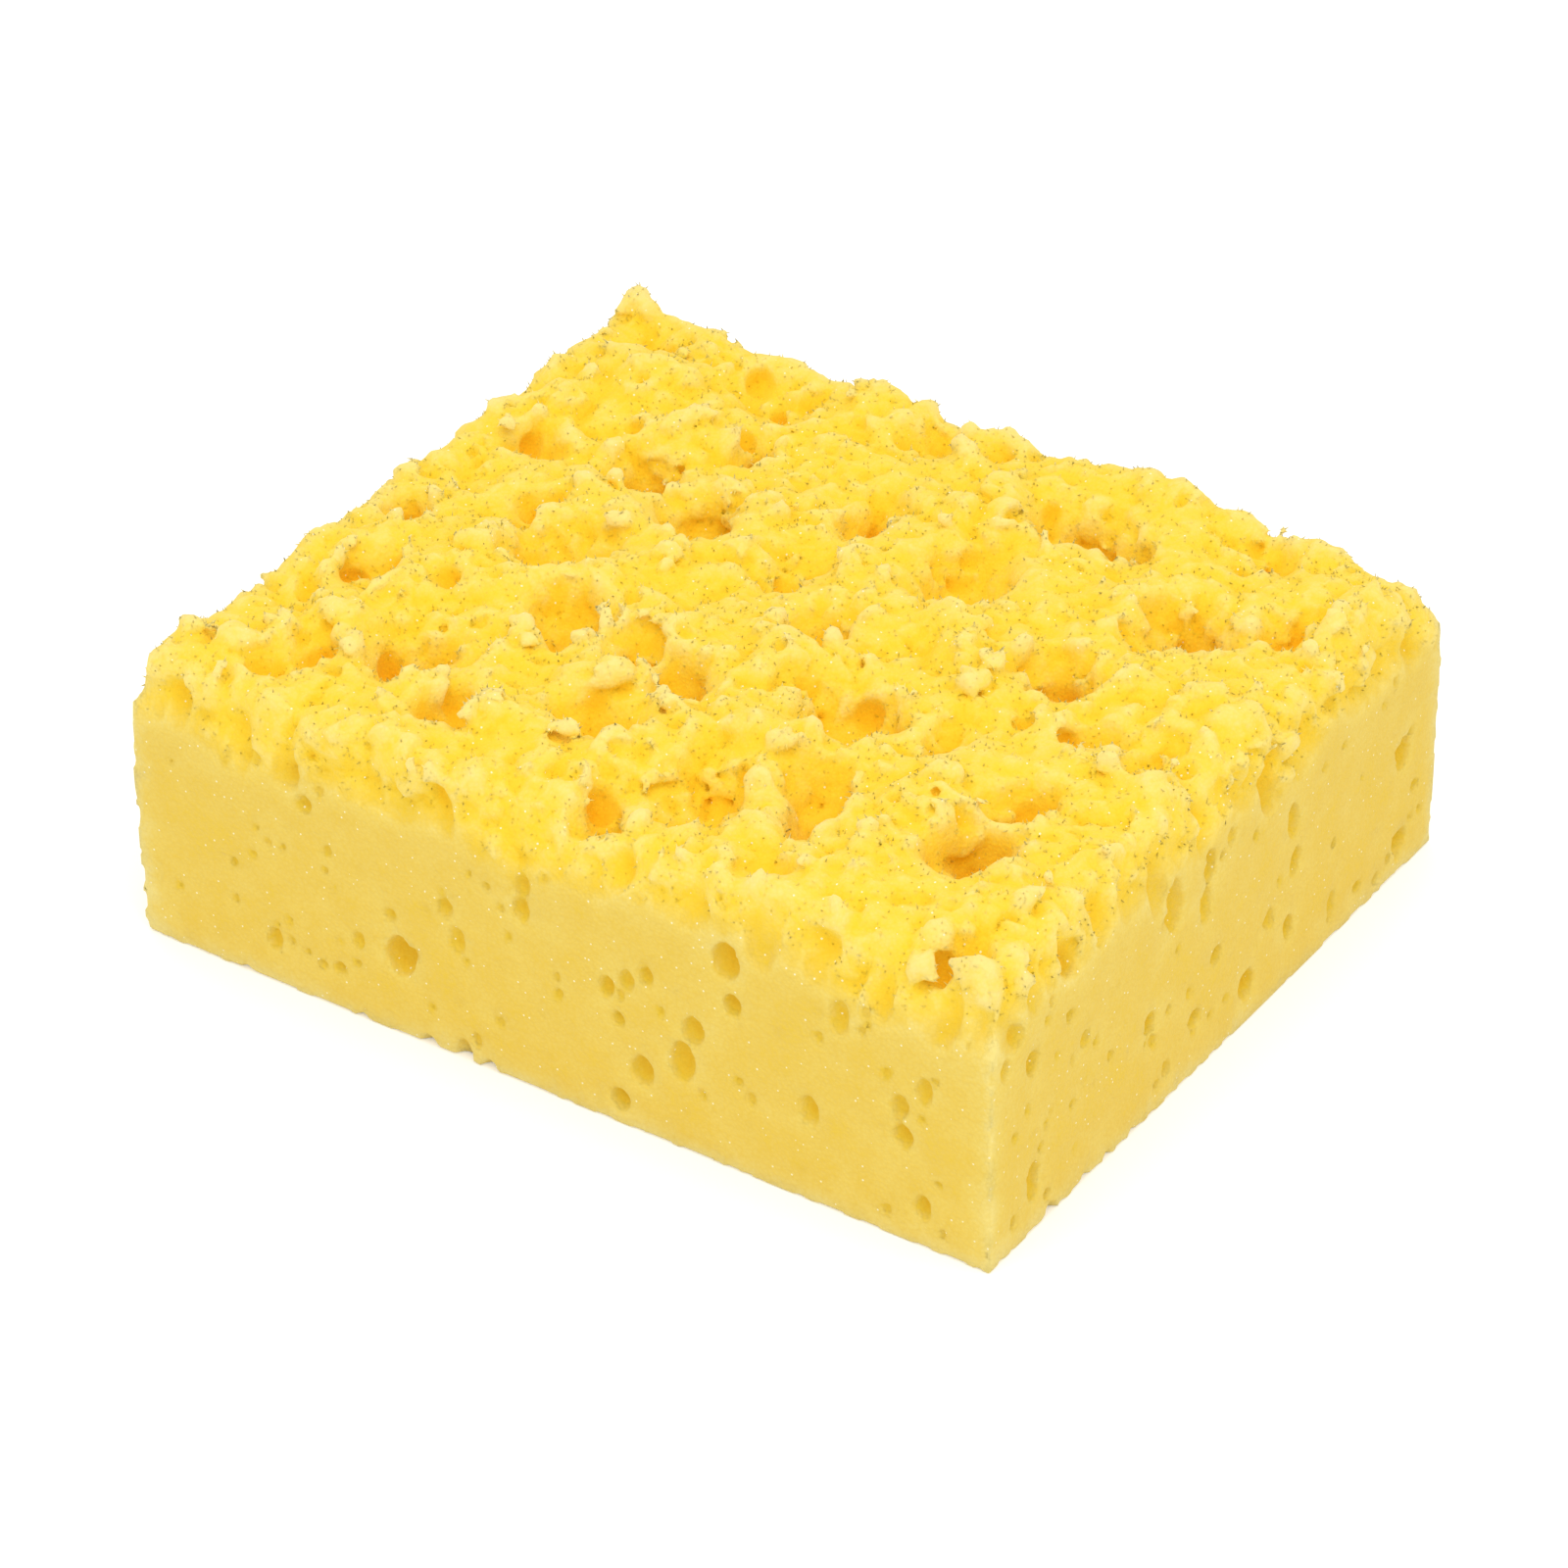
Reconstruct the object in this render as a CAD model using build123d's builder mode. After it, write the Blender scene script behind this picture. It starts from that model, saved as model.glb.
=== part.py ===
"""A decorating sponge: one block of coarse open-celled foam, knife-cut on five faces and torn on the sixth.

Millimetres. The origin is at the middle of the flat underside, +X along the length, +Y along the
width and +Z up, towards the torn face that does the stippling.
"""

from build123d import *

import os

import numpy as np

# Driving dimensions
length = 150.0
width = 127.0
peak_height = 50.0  # underside to the tops of the mounds between the hollows
rim_radius = 4.0  # how the torn face rolls over into the cut sides
least_straight = 0.3  # shortest straight side of a bubble between its domed ends
edge_skin = 1.0  # foam left between a bubble and the edge of its face
seam_turn = -110.0  # turns a bubble's seam out of the foam, so no cut runs along it

# Hollows of the torn face: place along and across, as shares of half the length and half the width,
# then half the size each way and the depth, in millimetres.
hollows = [
    (-0.89, -0.09, 3.8, 3.8, 5.0),
    (-0.80, -0.38, 4.5, 5.5, 4.0),
    (-0.87, -0.56, 5.0, 5.5, 3.0),
    (-0.73, -0.74, 5.0, 4.5, 3.0),
    (-0.53, -0.08, 6.0, 6.5, 6.5),
    (-0.37, -0.31, 5.5, 6.0, 6.0),
    (-0.55, -0.60, 8.0, 8.5, 6.5),
    (-0.36, -0.72, 4.0, 5.5, 4.5),
    (-0.56, 0.37, 6.5, 6.0, 6.0),
    (-0.37, 0.25, 7.5, 7.0, 8.5),
    (-0.80, 0.31, 4.0, 4.0, 4.0),
    (-0.83, 0.82, 6.5, 6.0, 3.0),
    (-0.51, 0.78, 7.5, 6.0, 3.0),
    (-0.45, 0.56, 4.0, 4.5, 4.5),
    (-0.15, 0.84, 5.5, 6.0, 4.0),
    (-0.08, 0.50, 4.5, 7.0, 5.5),
    (-0.09, 0.19, 6.0, 7.0, 3.5),
    (0.21, 0.36, 8.0, 10.5, 7.0),
    (0.29, 0.71, 9.5, 6.0, 6.5),
    (0.67, 0.48, 6.5, 9.0, 8.5),
    (0.56, 0.13, 6.5, 6.5, 6.5),
    (0.07, 0.00, 5.0, 6.5, 5.0),
    (0.72, -0.07, 4.5, 4.0, 4.0),
    (-0.05, -0.37, 4.5, 5.0, 6.5),
    (-0.18, -0.30, 4.5, 5.0, 4.5),
    (-0.11, -0.60, 5.5, 6.0, 5.0),
    (0.27, -0.25, 10.5, 6.5, 6.0),
    (0.39, -0.58, 7.0, 7.5, 6.5),
    (0.19, -0.70, 7.0, 9.0, 6.5),
    (0.71, -0.35, 4.0, 4.0, 5.5),
    (0.73, -0.55, 6.0, 6.0, 8.5),
    (0.86, -0.12, 5.5, 6.0, 3.0),
    (0.84, 0.56, 4.5, 7.0, 4.0),
    (0.59, 0.84, 7.5, 7.5, 4.0),
]

# Bubbles that the knife opened, as place along a face and up it, both as shares of that face's size
# from its middle and its foot, then the width and height of the opening in millimetres.
front_pores = [
    (-0.72, 0.83, 2.6, 3.0),
    (-0.61, 0.80, 4.0, 5.0),
    (-0.57, 0.70, 2.5, 3.0),
    (-0.35, 0.28, 5.0, 7.0),
    (-0.67, 0.16, 2.5, 4.0),
    (-0.51, 0.15, 2.0, 2.0),
    (-0.45, 0.28, 2.0, 3.0),
    (-0.25, 0.53, 2.5, 3.6),
    (-0.21, 0.43, 2.5, 5.0),
    (-0.05, 0.66, 3.0, 6.0),
    (0.14, 0.47, 2.5, 4.0),
    (0.19, 0.53, 2.5, 4.0),
    (0.22, 0.22, 3.5, 5.0),
    (0.17, 0.10, 3.0, 3.6),
    (0.31, 0.31, 4.0, 7.0),
    (0.34, 0.44, 3.4, 4.6),
    (0.43, 0.58, 3.0, 3.5),
    (0.41, 0.73, 4.5, 6.0),
    (0.60, 0.32, 3.0, 5.0),
    (0.67, 0.68, 3.0, 6.0),
    (0.80, 0.46, 2.5, 4.0),
    (0.86, 0.56, 2.5, 4.5),
    (0.81, 0.35, 3.0, 4.0),
    (0.86, 0.14, 2.5, 4.0),
    (-0.30, 0.01, 2.5, 2.5),
    (-0.21, 0.01, 2.5, 5.0),
    (-0.15, 0.01, 2.5, 2.5),
]
right_pores = [
    (-0.90, 0.75, 3.0, 4.0),
    (-0.83, 0.60, 3.0, 4.0),
    (-0.61, 0.51, 2.0, 3.0),
    (-0.33, 0.34, 3.0, 4.0),
    (-0.24, 0.68, 4.0, 9.0),
    (-0.08, 0.69, 3.0, 6.0),
    (-0.09, 0.55, 3.0, 5.0),
    (-0.04, 0.36, 3.0, 3.4),
    (-0.13, 0.20, 3.0, 3.0),
    (-0.25, 0.12, 2.0, 3.0),
    (-0.82, 0.18, 3.0, 7.0),
    (0.11, 0.14, 4.0, 5.0),
    (0.20, 0.30, 2.5, 4.0),
    (0.30, 0.58, 3.0, 6.0),
    (0.33, 0.43, 3.0, 4.0),
    (0.30, 0.20, 3.0, 4.0),
    (0.19, 0.75, 4.0, 5.0),
    (0.50, 0.14, 2.0, 4.0),
    (0.83, 0.44, 4.0, 6.0),
    (0.83, 0.12, 4.0, 4.0),
]

# Bites out of the torn rim, as place along a side (a share of half of it), then width and depth in
# millimetres: front, right, back and left in turn.
rim_bites = [
    [(-0.80, 11.0, 5.0), (-0.45, 9.4, 3.5), (-0.10, 9.0, 4.5), (0.28, 10.0, 4.3), (0.66, 9.6, 5.0)],
    [(-0.76, 9.2, 4.5), (-0.42, 10.0, 5.0), (0.05, 9.4, 4.6), (0.38, 11.0, 5.5), (0.76, 13.0, 6.5)],
    [(-0.80, 10.0, 6.0), (-0.50, 9.0, 4.3), (-0.05, 11.0, 5.0), (0.25, 9.3, 4.5), (0.62, 10.0, 4.4)],
    [(-0.75, 9.0, 4.2), (-0.30, 11.0, 5.0), (0.12, 9.2, 5.0), (0.55, 10.0, 4.5)],
]

# Finer bubbles on the torn face, and those of the two sides with no places of their own, are spread by
# a seeded draw: seed, how many, and the least and greatest width of an opening.
fine_draw = (5, 46, 4.0, 7.5)
back_draw = (7, 26, 2.0, 4.5)
left_draw = (8, 20, 2.0, 4.5)
fine_depth_share = 0.4  # depth of a fine bubble over its width
rise_share = 1.6  # height of a bubble over its width: they rose as the foam set

cut_height = peak_height - rim_radius  # height of the four cut sides


def bubble(across, high):
    """A closed bubble, upright: a round rod with domed ends, turned from half its outline."""
    radius = across / 2
    half_straight = max(high - across, least_straight) / 2
    with BuildPart() as shape:
        with BuildSketch(Plane.XZ):
            with BuildLine():
                CenterArc((0, -half_straight), radius, -90, 90)
                Line((radius, -half_straight), (radius, half_straight))
                CenterArc((0, half_straight), radius, 0, 90)
                Line((0, half_straight + radius), (0, -half_straight - radius))
            make_face()
        revolve(axis=Axis.Z)
    return shape.part


def drawn_openings(draw_values, face_length, face_height, taken):
    """Openings (along, up, width, height) drawn at random, clear of the edges and of each other."""
    seed, count, least, greatest = draw_values
    draw = np.random.default_rng(seed)
    drawn = []
    for attempt in range(60 * count):
        across = draw.uniform(least, greatest)
        high = across * rise_share
        margin = high / 2 + edge_skin
        along = draw.uniform(-1, 1) * (face_length / 2 - margin)
        up = draw.uniform(margin, face_height - margin)
        gaps = [np.hypot(along - other[0], up - other[1]) - (high + other[3]) / 2 for other in taken + drawn]
        if len(drawn) < count and min(gaps, default=edge_skin) >= edge_skin:
            drawn.append((along, up, across, high))
    return drawn


def side_bubbles(turn, half_depth, openings):
    """Bubbles that one side opens: the side faces -Y, then is turned about the upright axis."""
    side = Location((0, 0, 0), (0, 0, turn))
    return [bubble(across, high).moved(side * Location((along, -half_depth, up), (0, 0, seam_turn)))
            for along, up, across, high in openings]


def dished_bubble(opening):
    """A bubble opened by the torn face, lying level.

    Its round section is the circle through the opening's two sides and the hollow's floor, and it is
    lengthened along the opening's longer way.
    """
    x, y, half_x, half_y, depth = opening
    half_long, half_wide = max(half_x, half_y), min(half_x, half_y)
    radius = (half_wide**2 + depth**2) / (2 * depth)
    centre = Location((x, y, peak_height + radius - depth), (0, 0, 0 if half_x >= half_y else 90))
    level = Location((0, 0, 0), (0, -90, 0))  # with its seam up, out of the foam
    return bubble(2 * radius, 2 * (radius + half_long - half_wide)).moved(centre * level)


def placed(pores, face_length):
    """Hand-placed openings, from shares of a face to millimetres along it and up it."""
    return [(along * face_length / 2, up * cut_height, across, high) for along, up, across, high in pores]


sides = [
    (0, length, width, placed(front_pores, length)),
    (90, width, length, placed(right_pores, width)),
    (180, length, width, drawn_openings(back_draw, length, cut_height, [])),
    (270, width, length, drawn_openings(left_draw, width, cut_height, [])),
]
opened = []  # one list of bubbles for each face, cut in turn
for (turn, face_length, depth, openings), bites in zip(sides, rim_bites):
    opened.append(side_bubbles(turn, depth / 2, openings))
    rim = [(along * face_length / 2, peak_height, across, 2 * bite) for along, across, bite in bites]
    opened.append(side_bubbles(turn, depth / 2, rim))

big = [(along * length / 2, across * width / 2, half_x, half_y, depth)
       for along, across, half_x, half_y, depth in hollows]
taken = [(x, y + width / 2, 2 * half_x, half_x + half_y) for x, y, half_x, half_y, depth in big]
fine = [(x, y - width / 2, across / 2, across / 2, fine_depth_share * across)
        for x, y, across, high in drawn_openings(fine_draw, length, width, taken)]
opened.append([dished_bubble(opening) for opening in big])
opened.append([dished_bubble(opening) for opening in fine])

# The block of foam: sawn to size, its top edge rolled over, and every bubble at the surface opened
with BuildPart() as sponge_block:
    with BuildSketch(Plane.XY):
        Rectangle(length, width)
    extrude(amount=peak_height)
    fillet(sponge_block.faces().sort_by(Axis.Z)[-1].edges(), rim_radius)
    for bubbles in opened:
        add(bubbles, mode=Mode.SUBTRACT)

sponge_block.part.label = "sponge_block"
os.makedirs("parts", exist_ok=True)
export_step(sponge_block.part, "parts/sponge_block.step")
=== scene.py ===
"""A decorating sponge: one block of bright yellow coarse foam, knife-cut underneath and round its four
sides, and torn on top into mounds and hollows. The block stands on its cut face, torn face up.
"""

import math

import bpy
import numpy as np
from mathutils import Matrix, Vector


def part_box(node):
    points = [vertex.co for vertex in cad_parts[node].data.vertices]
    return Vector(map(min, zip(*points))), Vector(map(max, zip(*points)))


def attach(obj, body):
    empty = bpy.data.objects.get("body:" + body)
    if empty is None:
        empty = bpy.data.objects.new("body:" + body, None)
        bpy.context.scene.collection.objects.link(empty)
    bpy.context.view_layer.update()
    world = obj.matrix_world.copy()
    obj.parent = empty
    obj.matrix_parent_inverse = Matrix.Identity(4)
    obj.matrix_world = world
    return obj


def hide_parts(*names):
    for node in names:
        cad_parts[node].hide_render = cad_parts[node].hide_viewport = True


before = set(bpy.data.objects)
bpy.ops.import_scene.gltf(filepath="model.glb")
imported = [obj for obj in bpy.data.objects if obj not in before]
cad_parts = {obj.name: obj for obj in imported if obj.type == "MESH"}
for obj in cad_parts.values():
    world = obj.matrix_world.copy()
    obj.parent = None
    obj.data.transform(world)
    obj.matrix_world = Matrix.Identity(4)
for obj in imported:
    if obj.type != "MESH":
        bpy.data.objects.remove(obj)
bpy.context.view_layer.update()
MM = 0.001

# The camera: a long lens well above the bench, off the block's near corner, so that the torn face
# and two of the cut sides show.

BLOCK_HIGH = np.array(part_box("sponge_block")[1]) / MM
LOOK_AT = np.array([0.0, 0.0, 22.25])  # millimetres
AZIMUTH, ELEVATION, ROLL = (math.radians(angle) for angle in (34.06, 33.83, -0.387))
DISTANCE = 869.8  # millimetres
LENS = 133.05
SHIFT = (-0.0064, -0.0132)


def look_from(azimuth, elevation, roll):
    """Columns right, up and back: back leans by the azimuth from -Y and rises by the elevation."""
    level = math.cos(elevation)
    back = np.array([math.sin(azimuth) * level, -math.cos(azimuth) * level, math.sin(elevation)])
    right = np.cross([0, 0, 1], back)
    right /= np.linalg.norm(right)
    up = np.cross(back, right)
    rolled_right = right * math.cos(roll) + up * math.sin(roll)
    rolled_up = up * math.cos(roll) - right * math.sin(roll)
    return np.column_stack([rolled_right, rolled_up, back])


def put(thing, axes, place):
    """Turns a camera or lamp to the axes, given as columns, and moves it to a place in metres."""
    placed = np.eye(4)
    placed[:3, :3] = axes
    placed[:3, 3] = place
    thing.matrix_world = placed.T.tolist()  # taken column by column
    bpy.context.scene.collection.objects.link(thing)


axes = look_from(AZIMUTH, ELEVATION, ROLL)
camera = bpy.data.objects.new("camera", bpy.data.cameras.new("camera"))
camera.data.lens = LENS
camera.data.sensor_width = 36.0
camera.data.shift_x, camera.data.shift_y = SHIFT
put(camera, axes, (LOOK_AT + DISTANCE * axes[:, 2]) * MM)
bpy.context.scene.camera = camera

# The sponge block: polyether foam of fine open cells with far larger bubbles all through it. The
# knife opened the bubbles flat on five faces, and the tear on top follows them from one to the next,
# which leaves funnel-shaped hollows between ragged mounds. Parts of such a surface overhang, so it is
# made as the skin of a field of depth in the foam.

HALF_X, HALF_Y = BLOCK_HIGH[0], BLOCK_HIGH[1]
PEAK = BLOCK_HIGH[2]
VOXEL = 0.6  # spacing of the field's grid, in millimetres
EDGE_ROOM = 3.0  # how far the grid goes past the block
TRIANGLES = 150_000  # of the skin once thinned, and each strut end adds four
STRUT_ENDS = 11_000
OWN_SHARE = 0.5  # of a tuft's own shape in how it is shaded
draw = np.random.default_rng(23)


def grid_line(low, high):
    """Evenly spaced places from a little below low to a little above high."""
    return np.arange(low - EDGE_ROOM, high + EDGE_ROOM + VOXEL, VOXEL, dtype=np.float32)


LINES = [grid_line(-HALF_X, HALF_X), grid_line(-HALF_Y, HALF_Y), grid_line(0, PEAK + 2)]
X, Y, Z = np.meshgrid(*LINES, indexing="ij", sparse=True)


def drift(pitch, flat=False):
    """Smooth random values from -1 to 1: a coarse lattice of draws, eased between along each axis."""
    sizes = [len(line) for line in LINES[:2]] + [1 if flat else len(LINES[2])]
    values = draw.uniform(-1, 1, [math.ceil(size * VOXEL / pitch) + 2 for size in sizes]).astype(np.float32)
    for axis, size in enumerate(sizes):
        at = np.arange(size) * VOXEL / pitch
        low = at.astype(int)
        share = (at - low).astype(np.float32)
        share = share * share * (3 - 2 * share)
        share = share.reshape([-1 if axis == other else 1 for other in range(3)])
        values = np.take(values, low, axis) * (1 - share) + np.take(values, low + 1, axis) * share
    return values


def ease(value, low, high):
    """Zero below low, one above high, smooth between."""
    share = np.clip((value - low) / (high - low), 0, 1)
    return share * share * (3 - 2 * share)


# Hollows of the torn face: place along and across, as shares of half the length and half the width,
# then half the size each way and the depth, in millimetres.
FUNNEL_DEPTH, FUNNEL_WIDTH = 1.3, 1.7  # the funnel's depth and half width, over the hollow's
HOLLOWS = [
    (-0.89, -0.09, 3.0, 3.0, 6.0),
    (-0.80, -0.38, 4.0, 5.0, 4.5),
    (-0.87, -0.56, 4.0, 5.0, 3.0),
    (-0.73, -0.74, 4.5, 3.5, 3.0),
    (-0.76, -0.84, 4.0, 3.5, 2.5),
    (-0.53, -0.08, 5.5, 6.0, 8.0),
    (-0.37, -0.31, 5.0, 5.5, 8.0),
    (-0.55, -0.60, 7.0, 7.5, 8.0),
    (-0.36, -0.72, 3.0, 4.5, 6.0),
    (-0.57, 0.39, 5.5, 5.5, 7.0),
    (-0.37, 0.25, 6.5, 6.0, 11.0),
    (-0.80, 0.31, 3.5, 3.0, 4.5),
    (-0.66, 0.08, 2.5, 5.0, 4.0),
    (-0.83, 0.85, 5.5, 5.5, 3.0),
    (-0.51, 0.80, 7.0, 5.5, 3.0),
    (-0.45, 0.60, 3.0, 3.5, 5.0),
    (-0.15, 0.86, 4.5, 5.5, 4.0),
    (0.01, 0.89, 7.5, 5.5, 3.0),
    (-0.08, 0.50, 3.5, 6.5, 6.0),
    (-0.09, 0.19, 5.0, 6.5, 4.0),
    (0.21, 0.38, 6.5, 9.5, 8.0),
    (0.27, 0.71, 8.5, 5.0, 7.5),
    (0.67, 0.48, 5.0, 8.0, 10.0),
    (0.56, 0.13, 5.5, 5.5, 8.0),
    (0.07, 0.00, 4.0, 5.5, 6.0),
    (0.71, -0.05, 3.5, 3.0, 4.5),
    (-0.05, -0.37, 3.5, 4.0, 8.5),
    (-0.18, -0.33, 3.5, 4.0, 5.5),
    (-0.11, -0.60, 4.5, 5.0, 5.5),
    (0.27, -0.25, 9.5, 5.5, 7.0),
    (0.48, -0.20, 2.0, 5.0, 4.0),
    (0.39, -0.59, 6.0, 6.5, 8.0),
    (0.19, -0.69, 6.5, 8.5, 8.0),
    (0.71, -0.35, 3.2, 3.2, 7.0),
    (0.73, -0.54, 5.0, 5.0, 11.0),
    (0.88, -0.09, 5.0, 5.0, 3.0),
    (0.85, 0.60, 3.5, 6.0, 4.5),
    (0.60, 0.88, 7.0, 7.0, 4.0),
    (0.87, -0.88, 3.0, 6.5, 4.5),
    (0.07, -0.87, 2.8, 5.0, 5.0),
    (0.43, -0.86, 4.0, 6.0, 3.0),
]

# The torn height: swells and dips that a hand could feel, lower at some corners, with a soft-edged funnel
# for each hollow. The tear rolls over into the cut sides, furthest down the two near ones, and ends
# there in a ragged line.
CORNER_DROPS = [(1, 1, 4.0), (-1, -1, 1.5), (1, -1, 1.5), (-1, 1, -2.0)]  # x side, y side, millimetres
CORNER_REACH = 26  # how far in from a corner its drop is felt
NEAR_ROLL, FAR_ROLL = 7.0, 3.2  # middling radius of the rolled edges of the near and far sides
torn_top = PEAK + 0.1 + 1.4 * drift(22, flat=True) + 2.0 * drift(11, flat=True)
for side_x, side_y, drop in CORNER_DROPS:
    away = np.hypot(X - side_x * HALF_X, Y - side_y * HALF_Y)
    torn_top = torn_top - drop * (1 - ease(away, 0, CORNER_REACH))
pull_x, pull_y = (2.2 * drift(8, flat=True) + 0.8 * drift(3.5, flat=True) for way in range(2))
for along, across, half_x, half_y, depth in HOLLOWS:
    away = np.hypot((X + pull_x - along * HALF_X) / half_x, (Y + pull_y - across * HALF_Y) / half_y)
    torn_top = torn_top - FUNNEL_DEPTH * depth * (1 - ease(away, 0, FUNNEL_WIDTH))
slope_x, slope_y = np.gradient(torn_top[:, :, 0], VOXEL)
steep = np.sqrt(1 + slope_x**2 + slope_y**2)[:, :, None]
near_side, far_side = np.minimum(HALF_X - X, HALF_Y + Y), np.minimum(HALF_X + X, HALF_Y - Y)
to_side = np.minimum(near_side, far_side)
near_roll, far_roll = NEAR_ROLL + 3.5 * drift(12, flat=True), FAR_ROLL + 1.8 * drift(10, flat=True)
tear_end = np.where(near_side < far_side, PEAK - 2 - near_roll, PEAK - 3 - far_roll)
torn_share = np.maximum(ease(Z, tear_end - 5, tear_end + 2), ease(to_side, 1, 6) * ease(Z, 12, 20))


def height_at(x, y):
    """The torn height at places in millimetres, read from the nearest grid line."""
    column = np.clip(np.round((x - LINES[0][0]) / VOXEL).astype(int), 0, len(LINES[0]) - 1)
    row = np.clip(np.round((y - LINES[1][0]) / VOXEL).astype(int), 0, len(LINES[1]) - 1)
    return torn_top[column, row, 0]


def floor_bubbles(per_hollow, sizes):
    """Small bubbles about the floors of the hollows: each centre is thrown off its hollow's middle by
    up to its half size, and lies at the torn height there."""
    along, across, half_x, half_y, depth = np.repeat(np.array(HOLLOWS), per_hollow, axis=0).T
    x = along * HALF_X + draw.uniform(-0.9, 0.9, len(along)) * half_x
    y = across * HALF_Y + draw.uniform(-0.9, 0.9, len(along)) * half_y
    radius = draw.uniform(*sizes, len(along))
    return np.column_stack([x, y, height_at(x, y) - 0.3 * radius, radius, radius, 1.2 * radius])


def torn_bubbles(count, sizes, sink):
    """Bubbles met by the tear: anywhere on the block, their centres sunk about the torn height."""
    x = draw.uniform(-1, 1, count) * (HALF_X - 1)
    y = draw.uniform(-1, 1, count) * (HALF_Y - 1)
    radius = draw.uniform(*sizes, count)
    z = height_at(x, y) - radius * draw.uniform(*sink, count)
    stretch = draw.uniform(0.8, 1.25, (2, count))
    half_z = radius * draw.uniform(0.9, 1.4, count)
    return np.column_stack([x, y, z, radius * stretch[0], radius * stretch[1], half_z])


# Bubbles that the knife opened: millimetres along a face from its middle and up from the foot, then
# the width and height of the opening.
FRONT_PORES = [
    (-55.5, 43, 3, 4), (-52, 39.5, 2.5, 2.5), (-45.5, 39, 4, 5), (-43, 34.5, 2.5, 3), (-57, 38, 1.5, 2),
    (-39, 28, 1.5, 2), (-28, 21, 2, 2), (-26.5, 14, 5, 7), (-50, 8, 2.5, 4), (-38, 7.5, 2, 2),
    (-41, 7, 1.5, 1.5), (-34, 14, 2, 3), (-18, 26, 2.5, 3.5), (-16, 21, 2.5, 5), (-4, 35, 3, 4.5),
    (-4.3, 31, 3, 4), (-10, 33, 1.4, 1.4), (2, 19, 1.5, 1.5), (10.5, 23.5, 2.5, 4), (14, 26, 2.5, 4),
    (17.5, 28, 2.5, 3), (12.5, 18.5, 2, 2.5), (16.5, 11, 3.5, 5), (12.5, 4.5, 3, 3.5), (23.5, 15.5, 4, 7),
    (25.5, 21.5, 3.5, 5), (32, 29, 3, 3.5), (31, 36, 4.5, 6), (25.5, 43.5, 2.5, 3), (36, 40, 2.5, 4),
    (33, 16, 1.5, 1.5), (45, 16, 3, 5), (50, 34, 3, 6), (55.5, 39, 2, 3), (60, 23, 2.5, 4), (64, 27, 2.5, 4.5),
    (60.5, 18, 3, 4), (64, 7, 2.5, 4), (58, 4, 1.5, 2), (68.5, 40, 2, 3), (66.5, 12, 1.5, 1.5), (-56, 0, 2, 2),
    (-34, 0, 2, 2), (-22, 0.3, 2.5, 2.6), (-15.5, 0.5, 2.6, 6), (-11, 0.2, 2.5, 3),
]
RIGHT_PORES = [
    (-57, 37, 3, 4), (-53, 30, 3, 4), (-60, 33, 2, 3), (-43, 32, 2, 2), (-39, 25.5, 2, 3), (-21, 17, 3, 4),
    (-15, 34, 4, 9), (-5, 35, 3, 6), (-6, 29, 3, 6), (-2.5, 18, 3, 3), (-8, 10, 3, 3), (-16, 6, 2, 3),
    (-52, 9, 3, 7), (7, 7, 4, 5), (13, 15, 2.5, 4), (19, 29, 3, 6), (20.5, 21.5, 3, 4), (19, 10, 3, 4),
    (12, 38, 4, 5), (32, 7, 2, 4), (40, 5, 2, 2), (46, 3, 2, 2), (53, 22, 4, 6), (53, 6, 4, 4), (57, 14, 2, 2),
    (-47, 0.3, 2.4, 3), (-38, 0.2, 2, 2), (-32, 0.2, 2, 2.4), (-25, 0, 1.8, 2),
]

# Furrows that the tear left down the upper edges of the two near sides, in the same terms
FRONT_FURROWS = [
    (-66, 44, 5, 7), (-55, 42.5, 4, 7), (-46, 41, 3.5, 8), (-32, 43, 4, 6), (-18, 42.5, 4, 7), (-7, 45, 4, 8),
    (3, 43.5, 3, 6), (12, 45, 5, 10), (26, 43.5, 4, 7), (37, 43, 4.5, 10), (46, 43, 5, 8), (57, 42, 4.5, 11),
    (66, 41.5, 5, 12), (72, 41, 4, 7),
]
RIGHT_FURROWS = [
    (-59, 41, 4.5, 11), (-52, 43, 4, 8), (-43, 43, 5, 10), (-34, 44, 4, 7), (-28, 43, 3.5, 8),
    (-19, 41.5, 4.5, 12), (-6, 45, 4, 7), (4, 44, 4, 6), (12, 41, 4.5, 11), (23, 44, 4, 6), (35, 44, 4.5, 7),
    (45, 42.5, 4, 6), (54, 41.5, 4, 7),
]


def drawn_pores(count, half_length, sizes):
    """Openings spread over a cut face, taller than wide because the bubbles rose as the foam set."""
    width = draw.uniform(*sizes, count)
    along = draw.uniform(-1, 1, count) * (half_length - 2)
    up = draw.uniform(2, PEAK - 8, count)
    return np.column_stack([along, up, width, width * draw.uniform(1.1, 1.9, count)])


def cut_bubbles(pores, turn, half_depth):
    """Bubbles behind the openings of a side: the side that faces -Y, turned by quarter turns."""
    along, up, width, height = np.array(pores).T
    inward = -half_depth + 0.1 * width
    x, y = [(along, inward), (-inward, along), (along, -inward), (inward, along)][turn]
    return np.column_stack([x, y, up, width / 2, width / 2, height / 2])


def under_bubbles(count, sizes):
    """Bubbles opened by the cut of the underside."""
    x = draw.uniform(-1, 1, count) * (HALF_X - 3)
    y = draw.uniform(-1, 1, count) * (HALF_Y - 3)
    radius = draw.uniform(*sizes, count) / 2
    half_y = radius * draw.uniform(0.9, 1.3, count)
    return np.column_stack([x, y, 0.15 * radius, radius, half_y, 1.3 * radius])


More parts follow.
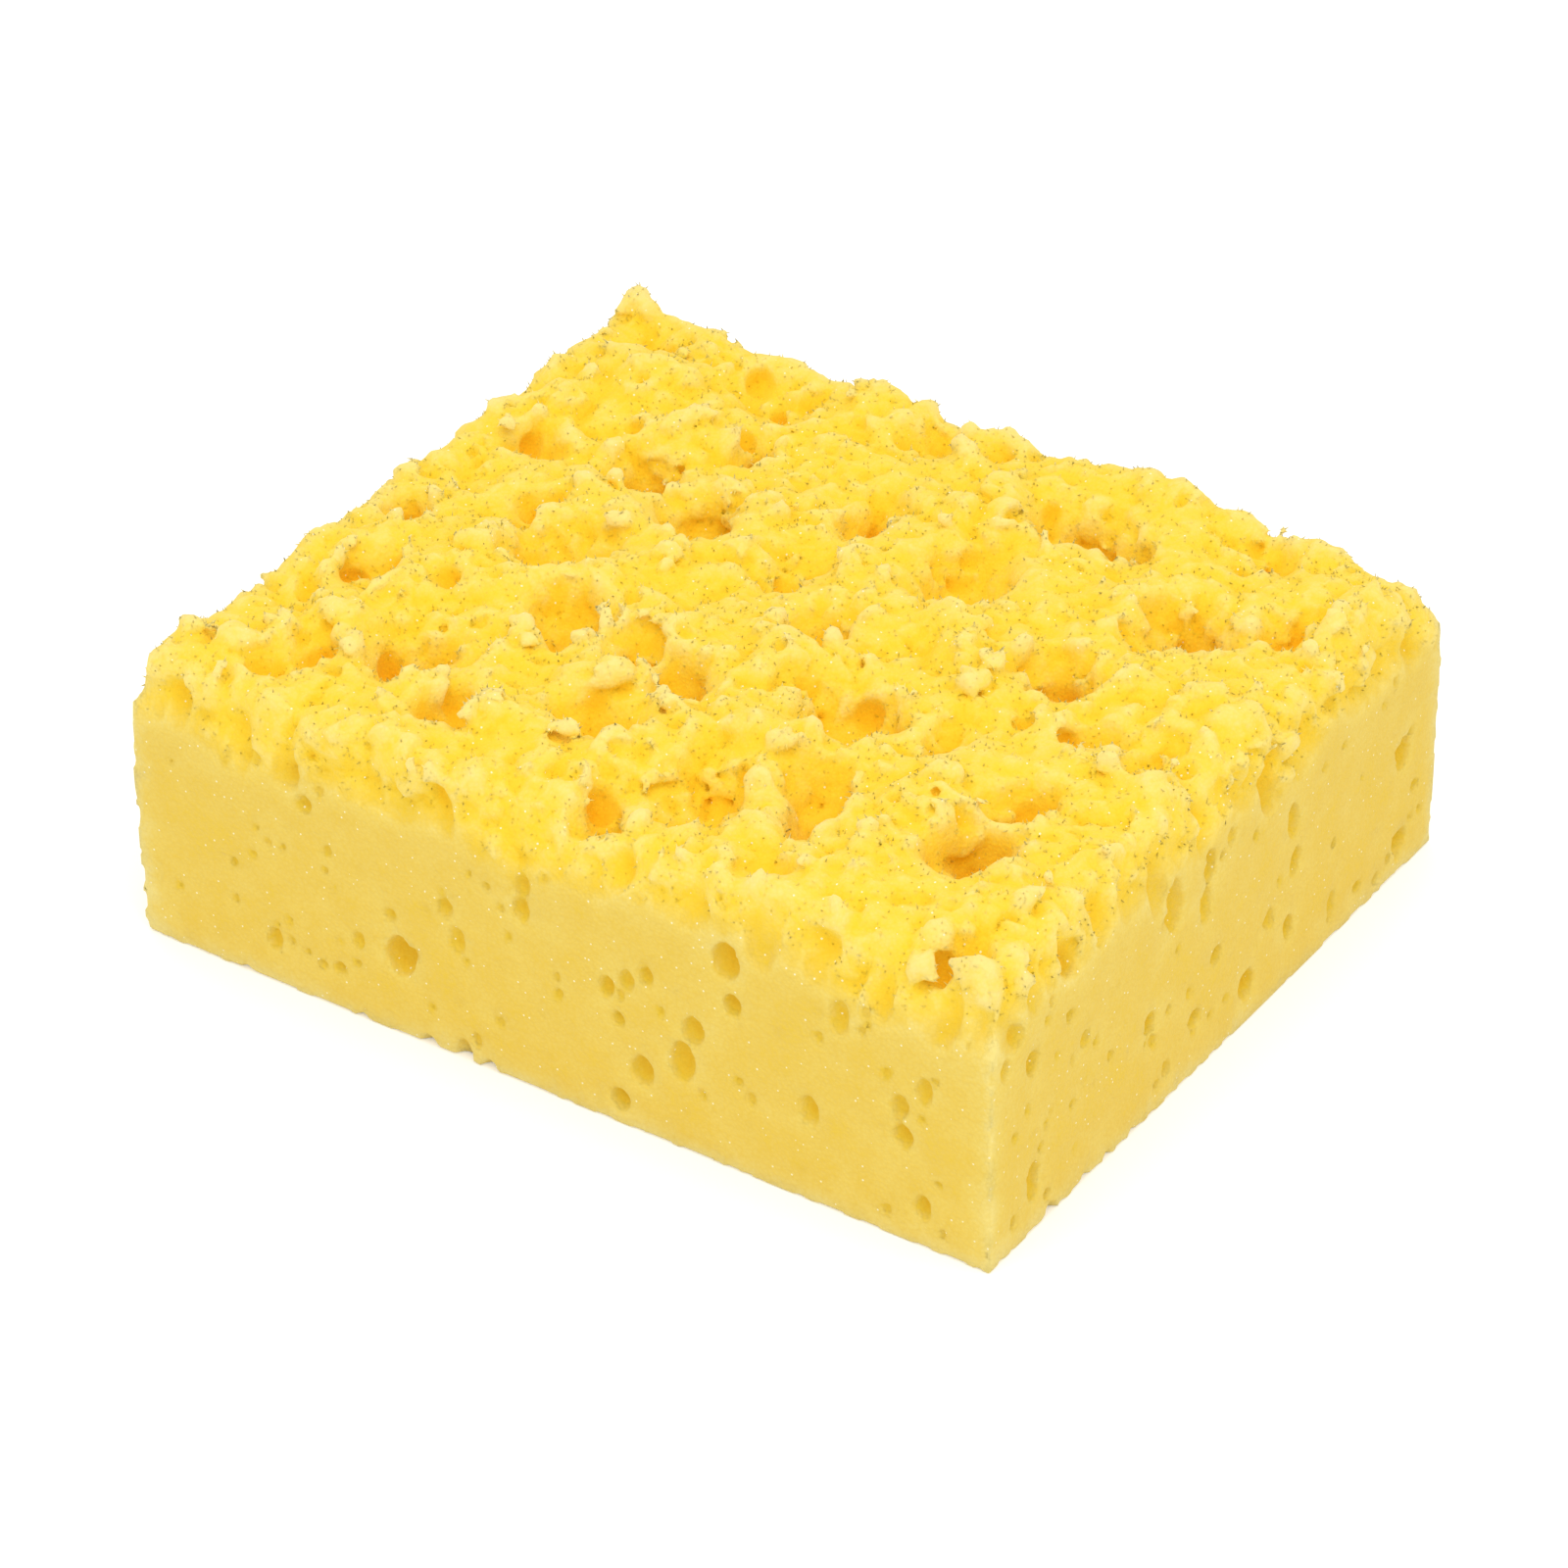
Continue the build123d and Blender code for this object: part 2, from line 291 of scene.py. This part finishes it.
# The pores of each side, with the side's number in quarter turns from -Y, its half length and how far
# it lies from the middle
sides = [(FRONT_PORES, 0, HALF_X, HALF_Y), (RIGHT_PORES, 1, HALF_Y, HALF_X),
         (drawn_pores(46, HALF_X, (1.5, 4.5)), 2, HALF_X, HALF_Y),
         (drawn_pores(38, HALF_Y, (1.5, 4.5)), 3, HALF_Y, HALF_X)]

# Sets of bubbles, how far each set's rims are rounded off, and how far drift pulls them out of shape
opened = [(floor_bubbles(2, (1.2, 2.6)), 1.4, 1.0),
          (torn_bubbles(130, (0.9, 1.9), (-0.5, 0.1)), 1.0, 1.0),
          (torn_bubbles(150, (0.6, 1.1), (-0.5, 0.1)), 0.5, 0.5),
          (cut_bubbles(FRONT_FURROWS, 0, HALF_Y), 1.6, 1.0),
          (cut_bubbles(RIGHT_FURROWS, 1, HALF_X), 1.6, 1.0),
          (under_bubbles(70, (1.8, 4.5)), 0.3, 0.2)]
for pores, turn, half_length, half_depth in sides:
    opened.append((cut_bubbles(pores, turn, half_depth), 0.3, 0.2))
    opened.append((cut_bubbles(drawn_pores(70, half_length, (0.9, 1.5)), turn, half_depth), 0.3, 0.2))


def open_bubbles(field, rows, blend, shift):
    """Lowers the field to its distance outside each bubble: the distance in the bubble's own half
    sizes, less one, times the mean half size. Where the two are within the blend of each other the
    lower is rounded off, by a quarter of the blend at most."""
    for row in rows:
        centre, half = row[:3], row[3:]
        spans = []
        for line, middle, reach in zip(LINES, centre, half + blend + 2.5):
            first, last = np.searchsorted(line, (middle - reach, middle + reach))
            spans.append(slice(first, last))
        spans = tuple(spans)
        away = (((X[spans[0]] + shift[0][spans] - centre[0]) / half[0]) ** 2
                + ((Y[:, spans[1]] + shift[1][spans] - centre[1]) / half[1]) ** 2
                + ((Z[:, :, spans[2]] + shift[2][spans] - centre[2]) / half[2]) ** 2)
        outside = (np.sqrt(away) - 1) * half.mean()
        patch = field[spans]
        near = np.clip(0.5 - 0.5 * (outside - patch) / blend, 0, 1)
        patch += near * (outside - patch) - blend * near * (1 - near)


def rolled(top, side, radius):
    """Depth below a top and a side that meet in a rounded edge of the given radius."""
    over_top, over_side = np.maximum(radius - top, 0), np.maximum(radius - side, 0)
    return np.maximum(np.minimum(top, side), radius) - np.hypot(over_top, over_side)


def foam_field():
    """Depth in the foam in millimetres, above zero inside: the block with its torn edges rolled over,
    raised into tufts whose creases lie where a drift passes through zero, with crumbs on them, and
    then every bubble opened."""
    tufts = 1.4 * (2 * np.abs(drift(7.0)) - 0.8) + 0.8 * (2 * np.abs(drift(3.4)) - 0.8) + 0.7 * drift(3.6)
    tufts = np.minimum(tufts, 1.9)
    crumbs = 0.65 * drift(2.0) + 0.6 * drift(1.25)
    below_top = (torn_top - Z) / steep
    field = np.minimum(rolled(below_top, near_side, near_roll), rolled(below_top, far_side, far_roll))
    level = ease(to_side, 0, 4)
    field += torn_share * (tufts - 0.9 * (1 - level)) + (0.05 + 0.95 * torn_share) * crumbs
    pull = [1.3 * drift(6.0) + 0.5 * drift(2.4) for axis in range(3)]
    for rows, blend, loose in opened:
        open_bubbles(field, rows, blend, [loose * way for way in pull])
    return np.minimum(field, Z).astype(np.float32)


def skin(field):
    """Closed skin of the field's zero level. Each grid cell that the level passes through has one
    point, at the mean of the crossings on its edges, and each crossed edge has one quad."""
    inside = field > 0
    corners = [(i, j, k) for i in (0, 1) for j in (0, 1) for k in (0, 1)]
    cells = tuple(size - 1 for size in field.shape)
    views = [tuple(slice(o, o + n) for o, n in zip(corner, cells)) for corner in corners]
    count = np.zeros(cells, dtype=np.int8)
    for view in views:
        count += inside[view]
    crossed = np.nonzero((count > 0) & (count < 8))
    number = np.full(cells, -1, dtype=np.int32)
    number[crossed] = np.arange(len(crossed[0]))
    values = np.stack([field[view][crossed] for view in views], axis=1)
    points = np.zeros((len(values), 3), dtype=np.float32)
    hits = np.zeros((len(values), 1), dtype=np.float32)
    for a, first in enumerate(corners):
        for b, second in enumerate(corners):
            if a < b and sum(abs(m - n) for m, n in zip(first, second)) == 1:
                start, end = values[:, a], values[:, b]
                cut = (start > 0) != (end > 0)
                share = np.where(cut, start / np.where(cut, start - end, 1), 0)[:, None]
                points += cut[:, None] * (np.array(first) + share * (np.array(second) - np.array(first)))
                hits += cut[:, None]
    points = (np.stack(crossed, axis=1) + points / hits) * VOXEL + [line[0] for line in LINES]
    quads = []
    for axis in range(3):
        before, after = [slice(1, -1)] * 3, [slice(1, -1)] * 3
        before[axis], after[axis] = slice(0, -1), slice(1, None)
        low, high = inside[tuple(before)], inside[tuple(after)]
        place = np.stack(np.nonzero(low != high), axis=1)
        outward = low[tuple(place.T)]
        place += [0 if other == axis else 1 for other in range(3)]
        one, two = (axis + 1) % 3, (axis + 2) % 3
        ring = []
        for step_one, step_two in ((1, 1), (0, 1), (0, 0), (1, 0)):
            cell = place.copy()
            cell[:, one] -= step_one
            cell[:, two] -= step_two
            ring.append(number[tuple(cell.T)])
        ring = np.stack(ring, axis=1)
        quads.append(np.where(outward[:, None], ring, ring[:, ::-1]))
    return points, np.concatenate(quads)


def largest_piece(points, quads):
    """Keeps the one skin that most points belong to, and drops crumbs and unopened bubbles. Each
    point takes the lowest number on its quads, and numbers are passed on until nothing changes."""
    owner = np.arange(len(points))
    while True:
        lowest = owner[quads].min(axis=1)
        passed = owner.copy()
        for corner in range(4):
            np.minimum.at(passed, quads[:, corner], lowest)
            np.minimum.at(passed, owner[quads[:, corner]], lowest)
        passed = passed[passed]
        if np.array_equal(passed, owner):
            break
        owner = passed
    kept = owner == np.bincount(owner).argmax()
    renumbered = np.cumsum(kept) - 1
    return points[kept], renumbered[quads[kept[quads[:, 0]]]]


field = foam_field()
points, quads = largest_piece(*skin(field))
block_mesh = bpy.data.meshes.new("sponge_block_foam")
block_mesh.from_pydata(points * MM, [], quads.tolist())
block = bpy.data.objects.new("sponge_block_foam", block_mesh)
bpy.context.scene.collection.objects.link(block)

# The flat cut faces need few triangles and the torn face needs many, so the skin is thinned where it
# is flat.
thin = block.modifiers.new("thin", "DECIMATE")
thin.ratio = TRIANGLES / (2 * len(quads))
bpy.context.view_layer.update()
thinned = bpy.data.meshes.new_from_object(block.evaluated_get(bpy.context.evaluated_depsgraph_get()))
block.modifiers.clear()
block.data = thinned
bpy.data.meshes.remove(block_mesh)


def blurred(values, reach):
    """Mean over a cube of the reach each way, from running sums along each axis."""
    for axis in range(3):
        margins = [(reach + 1, reach) if other == axis else (0, 0) for other in range(3)]
        padded = np.pad(values, margins, mode="edge")
        summed = np.cumsum(padded, axis=axis, dtype=np.float64)
        size = values.shape[axis]
        ahead = np.take(summed, np.arange(size) + 2 * reach + 1, axis)
        behind = np.take(summed, np.arange(size), axis)
        values = ((ahead - behind) / (2 * reach + 1)).astype(np.float32)
    return values


def read_at(values, places):
    """Values at the places in millimetres, from the nearest point of the grid."""
    index = [np.clip(np.round((along - line[0]) / VOXEL).astype(int), 0, len(line) - 1)
             for along, line in zip(places.T, LINES)]
    return values[tuple(index)]


def add_attribute(mesh, name, values):
    """Stores one number for each point, for the material to read."""
    layer = mesh.attributes.new(name, "FLOAT", "POINT")
    layer.data.foreach_set("value", np.ascontiguousarray(values, dtype=np.float32))


def point_values(items, name):
    """One row of three for each item of a mesh."""
    values = np.empty(len(items) * 3, dtype=np.float32)
    items.foreach_get(name, values)
    return values.reshape(-1, 3)


def strut_ends(points, normals):
    """Broken ends of cell struts: each is a thin three-sided spike that leans at random about the
    skin's normal, with its foot sunk in the foam."""
    torn = np.nonzero((read_at(torn_share, points) > 0.5) & (normals[:, 2] > -0.3))[0]
    chosen = draw.choice(torn, STRUT_ENDS, replace=False)
    way = normals[chosen] + 0.45 * draw.normal(size=(STRUT_ENDS, 3))
    way /= np.linalg.norm(way, axis=1, keepdims=True)
    side = np.cross(way, draw.normal(size=(STRUT_ENDS, 3)))
    side /= np.linalg.norm(side, axis=1, keepdims=True)
    other = np.cross(way, side)
    foot = points[chosen] - 0.2 * way
    half = draw.uniform(0.12, 0.22, (STRUT_ENDS, 1))
    corners = [foot + half * (math.cos(turn) * side + math.sin(turn) * other) for turn in (0, 2.094, 4.189)]
    corners.append(foot + draw.uniform(0.4, 1.1, (STRUT_ENDS, 1)) * way)
    first = 4 * np.arange(STRUT_ENDS)[:, None, None]
    faces = first + np.array([(0, 2, 1), (0, 1, 3), (1, 2, 3), (2, 0, 3)])
    return np.stack(corners, axis=1).reshape(-1, 3), faces.reshape(-1, 3)


skin_points = point_values(thinned.vertices, "co") / MM
ends, end_faces = strut_ends(skin_points, point_values(thinned.vertex_normals, "vector"))
faces = [list(face.vertices) for face in thinned.polygons] + (end_faces + len(skin_points)).tolist()
places = np.concatenate([skin_points, ends])
block_mesh = bpy.data.meshes.new("sponge_block_foam")
block_mesh.from_pydata(places * MM, [], faces)
block.data = block_mesh
bpy.data.meshes.remove(thinned)

foam = (field > 0).astype(np.float32)
near_field, wide_field = blurred(blurred(foam, 2), 2), blurred(blurred(foam, 5), 5)
near_foam, wide_foam = read_at(near_field, places), read_at(wide_field, places)

# Light spreads through the tufts, so they are shaded by the broad shape as much as by their own.
own = point_values(block_mesh.vertex_normals, "vector")
spread = near_field + wide_field
broad = -np.stack([read_at(np.gradient(spread, axis=axis), places) for axis in range(3)], axis=1)
broad /= np.linalg.norm(broad, axis=1, keepdims=True) + 1e-9
agree = ease(np.sum(own * broad, axis=1, keepdims=True), 0, 0.5)
agree[len(skin_points):] = 1 / (1 - OWN_SHARE)  # strut ends are shaded as the skin they stand on
shaded_by = own + (1 - OWN_SHARE) * agree * (broad - own)
shaded_by /= np.linalg.norm(shaded_by, axis=1, keepdims=True) + 1e-9
block_mesh.polygons.foreach_set("use_smooth", np.ones(len(block_mesh.polygons), dtype=bool))
block_mesh.normals_split_custom_set_from_vertices(shaded_by.tolist())

# How hollow each point lies, from the blurred foam round it. The material paints the hollows deeper and more
# golden and the mounds and edges paler: painted shade and painted light.
hollow_shade_mask = 0.45 * near_foam + 0.55 * wide_foam
add_attribute(block_mesh, "hollow_shade_mask", hollow_shade_mask)
add_attribute(block_mesh, "torn", read_at(torn_share, places))


def linear(hex_colour, alpha=1.0):
    """A hex sRGB colour as linear values: the low part divided by 12.92, the rest a 2.4 power."""
    parts = np.array([int(hex_colour[i:i + 2], 16) for i in (1, 3, 5)]) / 255
    shown = np.where(parts <= 0.04045, parts / 12.92, ((parts + 0.055) / 1.055) ** 2.4)
    return (*shown, alpha)


def add_node(tree, kind, settings=None, inputs=None):
    """Adds a node. Settings are its properties, and inputs are socket values or the sockets to link."""
    node = tree.nodes.new(kind)
    for name, value in (settings or {}).items():
        setattr(node, name, value)
    for name, value in (inputs or {}).items():
        if isinstance(value, bpy.types.NodeSocket):
            tree.links.new(value, node.inputs[name])
        else:
            node.inputs[name].default_value = value
    return node


def colour_steps(tree, factor, steps):
    """A ramp through (place, hex colour) steps."""
    node = add_node(tree, "ShaderNodeValToRGB", inputs={"Fac": factor})
    ramp = node.color_ramp
    while len(ramp.elements) < len(steps):
        ramp.elements.new(0.5)
    for element, (place, colour) in zip(ramp.elements, steps):
        element.position = place
        element.color = linear(colour)
    return node.outputs["Color"]


DRAWN_CELL = 0.6  # millimetres: real cells of about 0.4 are too fine to show one by one
GLINT_PITCH, GLINT_RADIUS = 1.9, 0.1615  # millimetres between painted glints on the cells, and their size


def polyether_foam():
    """Open-celled polyether foam, dyed bright yellow and matt. Light passes between its cells, so its
    mounds and edges look pale and its hollows deeper and more golden: this light and shade is painted into the
    colour from how hollow each point lies, and the cut sides take a duller ramp as painted shade. A few cell wall
    glints are painted in as pale dots."""
    material = bpy.data.materials.new("polyether_foam")
    material.use_nodes = True
    tree = material.node_tree
    tree.nodes.clear()
    place = add_node(tree, "ShaderNodeTexCoord").outputs["Object"]
    hollow_shade_mask = add_node(tree, "ShaderNodeAttribute", {"attribute_name": "hollow_shade_mask"}).outputs["Fac"]
    torn = add_node(tree, "ShaderNodeAttribute", {"attribute_name": "torn"}).outputs["Fac"]
    cells = add_node(tree, "ShaderNodeTexVoronoi", {"feature": "F1"}, {
        "Vector": place, "Scale": 1 / (DRAWN_CELL * MM)})
    patches = add_node(tree, "ShaderNodeTexNoise", {}, {
        "Vector": place, "Scale": 1 / (4 * MM), "Detail": 4.0, "Roughness": 0.6})
    stirred = add_node(tree, "ShaderNodeMath", {"operation": "MULTIPLY_ADD"},
                       {0: patches.outputs["Fac"], 1: 0.16, 2: hollow_shade_mask})
    shaded = add_node(tree, "ShaderNodeMath", {"operation": "MULTIPLY_ADD"},
                      {0: cells.outputs["Distance"], 1: 0.1, 2: stirred.outputs[0]})
    # Pale on the mounds, golden in the hollows: painted light and painted shade, with random patches and cells as
    # the foam's own tone.
    torn_colour_and_painted_shade = colour_steps(tree, shaded.outputs[0], [
        (0.36, "#FCE384"), (0.48, "#FCDE6A"), (0.58, "#FCD94E"), (0.68, "#FDD636"), (0.80, "#FDD028"),
        (0.96, "#FBC41C")])
    # The cut sides take a duller, darker ramp than the torn top: painted shade, for sides that get less light.
    cut_colour_and_painted_shade = colour_steps(tree, shaded.outputs[0], [
        (0.38, "#F6E084"), (0.55, "#F0D262"), (0.64, "#EDCB54"), (0.74, "#EECA3E"), (0.88, "#EBC02C")])
    foam_colour_and_painted_shade = add_node(tree, "ShaderNodeMix", {"data_type": "RGBA"}, {
        0: torn, 6: cut_colour_and_painted_shade, 7: torn_colour_and_painted_shade})
    # Painted glints: pale dots on a few cells, standing in for light shining off the foam.
    painted_glint_spots = add_node(tree, "ShaderNodeTexVoronoi", {"feature": "F1"}, {
        "Vector": place, "Scale": 1 / (GLINT_PITCH * MM)})
    painted_glint = add_node(tree, "ShaderNodeMath", {"operation": "LESS_THAN"}, {
        0: painted_glint_spots.outputs["Distance"], 1: GLINT_RADIUS / GLINT_PITCH})
    base = add_node(tree, "ShaderNodeMix", {"data_type": "RGBA"}, {
        0: painted_glint.outputs[0], 6: foam_colour_and_painted_shade.outputs[2], 7: linear("#FFF4C4")})
    fine = add_node(tree, "ShaderNodeBump", {}, {"Strength": 0.4, "Distance": 0.25 * MM,
                                                "Height": cells.outputs["Distance"]})
    crumb = add_node(tree, "ShaderNodeTexNoise", {}, {
        "Vector": place, "Scale": 1 / (1.1 * MM), "Detail": 5.0, "Roughness": 0.65})
    rough = add_node(tree, "ShaderNodeBump", {}, {
        "Strength": 0.3, "Distance": 0.35 * MM, "Height": crumb.outputs["Fac"], "Normal": fine.outputs["Normal"]})
    surface = add_node(tree, "ShaderNodeBsdfPrincipled", {}, {
        "Base Color": base.outputs[2], "Normal": rough.outputs["Normal"], "Roughness": 0.9, "IOR": 1.45,
        "Specular IOR Level": 0.1, "Sheen Weight": 0.1, "Sheen Roughness": 0.6})
    add_node(tree, "ShaderNodeOutputMaterial", {}, {"Surface": surface.outputs["BSDF"]})
    return material


block_mesh.materials.append(polyether_foam())
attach(block, "root")
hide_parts("sponge_block")

# The floor and the light: a pale seamless floor under a wide soft lamp, with white all round.

FLOOR_HALF = 3.0  # metres


def white_for_camera(tree, shader, strength):
    """Adds plain white, seen by the camera, by gloss and through glass, to a shader."""
    path = add_node(tree, "ShaderNodeLightPath")
    seen = add_node(tree, "ShaderNodeMath", {"operation": "MAXIMUM"}, {
        0: path.outputs["Is Camera Ray"], 1: path.outputs["Is Glossy Ray"]})
    seen = add_node(tree, "ShaderNodeMath", {"operation": "MAXIMUM"}, {
        0: seen.outputs[0], 1: path.outputs["Is Transmission Ray"]})
    level = add_node(tree, "ShaderNodeMath", {"operation": "MULTIPLY"}, {0: seen.outputs[0], 1: strength})
    white = add_node(tree, "ShaderNodeEmission", {}, {"Strength": level.outputs[0]})
    return add_node(tree, "ShaderNodeAddShader", {}, {0: shader, 1: white.outputs[0]}).outputs[0]


floor_mesh = bpy.data.meshes.new("floor")
floor_corners = [(x * FLOOR_HALF, y * FLOOR_HALF, 0) for x, y in ((-1, -1), (1, -1), (1, 1), (-1, 1))]
floor_mesh.from_pydata(floor_corners, [], [(0, 1, 2, 3)])
floor = bpy.data.objects.new("floor", floor_mesh)
bpy.context.scene.collection.objects.link(floor)
paper = bpy.data.materials.new("white_paper")
paper.use_nodes = True
paper.node_tree.nodes.clear()
matt = add_node(paper.node_tree, "ShaderNodeBsdfDiffuse", {}, {"Color": linear("#F4F4F4")})
add_node(paper.node_tree, "ShaderNodeOutputMaterial", {}, {
    "Surface": white_for_camera(paper.node_tree, matt.outputs[0], 0.25)})
floor_mesh.materials.append(paper)

world = bpy.data.worlds.new("studio")
bpy.context.scene.world = world
world.use_nodes = True
world.node_tree.nodes.clear()
around = add_node(world.node_tree, "ShaderNodeBackground", {}, {"Color": (1, 1, 1, 1), "Strength": 0.9})
add_node(world.node_tree, "ShaderNodeOutputWorld", {}, {
    "Surface": white_for_camera(world.node_tree, around.outputs[0], 0.1)})


def soft_lamp(name, place, size, power):
    """A square lamp at a place in metres, facing the block."""
    lamp = bpy.data.objects.new(name, bpy.data.lights.new(name, "AREA"))
    lamp.data.size = size
    lamp.data.energy = power
    back = np.array(place) / np.linalg.norm(place)
    side = np.cross([0, 1, 0], back)
    side /= np.linalg.norm(side)
    put(lamp, np.column_stack([side, np.cross(back, side), back]), place)


soft_lamp("key", (0.3, -0.35, 1.1), 1.0, 4.5)

bpy.context.scene.view_settings.view_transform = "Standard"
